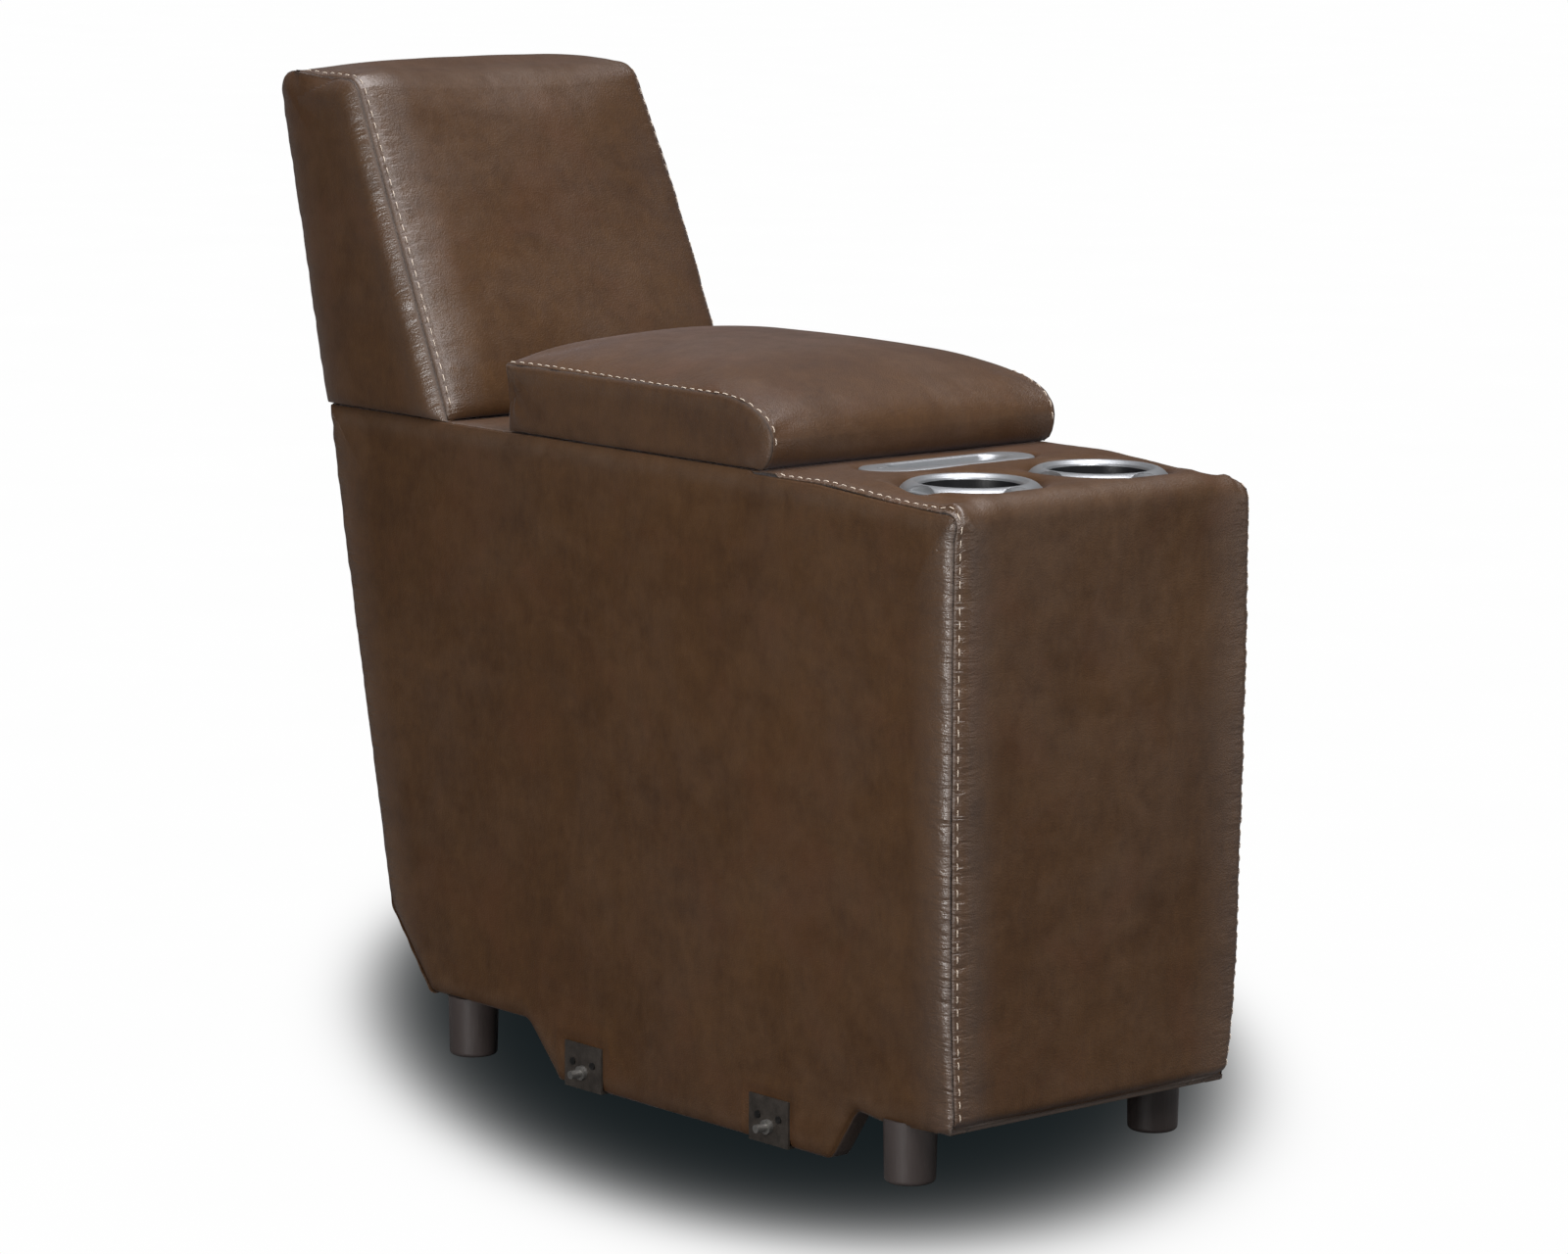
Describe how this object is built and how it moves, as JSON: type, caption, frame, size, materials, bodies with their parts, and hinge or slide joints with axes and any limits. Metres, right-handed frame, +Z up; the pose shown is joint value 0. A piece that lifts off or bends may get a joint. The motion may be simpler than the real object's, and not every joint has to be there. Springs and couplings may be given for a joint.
{
  "type": "theatre sectional storage console",
  "caption": "Narrow upholstered storage console with a lift-off backrest, a hinged padded lid, cup holders, an oblong tray and ganging studs.",
  "frame": {"origin": "on the floor, under the middle of the overall box", "axes": "+Z up; the front with the cup holders faces -Y and the backrest is towards +Y; +X is to the right when looking at +Y"},
  "size_m": [0.396, 1.0175, 0.98],
  "materials": {
    "brown_leather": "semi-gloss, mottled, with fine grain and cream topstitching",
    "plywood": "raw sawn board",
    "black_cloth": "matte non-woven cloth",
    "satin_silver": "satin",
    "black_plastic": "fine satin",
    "dark_steel": "dark, slightly worn",
    "bright_steel": "zinc plated",
    "foot_plastic": "dark grey-brown, lightly grained",
    "rubber": "matte"
  },
  "bodies": {
    "base": {"side_board_left": "plywood", "side_board_right": "plywood", "front_board": "plywood", "rear_board": "plywood", "kick_board": "plywood", "deck_board": "plywood", "deck_cleats": "plywood", "front_foot_board": "plywood", "rear_foot_board": "plywood", "dust_cloth": "black_cloth", "storage_bin": "plywood", "side_cover_left": "brown_leather", "side_cover_right": "brown_leather", "front_and_deck_cover": "brown_leather", "rear_cover": "brown_leather", "cup_bezels": "satin_silver", "cup_well_left": "black_plastic", "cup_well_right": "black_plastic", "tray": "satin_silver", "tray_screws": "bright_steel", "feet": "foot_plastic", "foot_bolts": "bright_steel", "gang_brackets": "dark_steel", "gang_studs": "bright_steel", "gang_nuts": "bright_steel", "gang_screws": "dark_steel", "hinge_base_leaves": "bright_steel", "hinge_pins": "bright_steel", "hinge_deck_screws": "bright_steel", "back_sockets": "dark_steel", "socket_screws": "bright_steel"},
    "lid": {"hinge_lid_leaves": "bright_steel", "hinge_lid_screws": "bright_steel", "lid_board": "plywood", "lid_lining": "black_cloth", "lid_cushion": "brown_leather", "lid_band_left": "brown_leather", "lid_band_right": "brown_leather", "lid_band_rear": "brown_leather", "lid_bumpers": "rubber"},
    "back": {"back_frame_left": "plywood", "back_frame_right": "plywood", "back_front_board": "plywood", "back_rear_panel": "plywood", "back_top_rail": "plywood", "back_bottom_board": "plywood", "back_pad": "brown_leather", "back_cover_left": "brown_leather", "back_cover_right": "brown_leather", "back_cover_rear": "brown_leather", "back_tongues": "dark_steel", "tongue_screws": "bright_steel"}
  },
  "joints": [
    {"name": "lid_hinge", "type": "hinge", "parent": "base", "child": "lid", "pos_m": [0, 0.13456, 0.645], "axis": [-1, 0, 0], "range_deg": [0, 90]},
    {"name": "back_lift", "type": "slide", "parent": "base", "child": "back", "axis": [0, 0, 1], "range_m": [0, 0.095]}
  ]
}
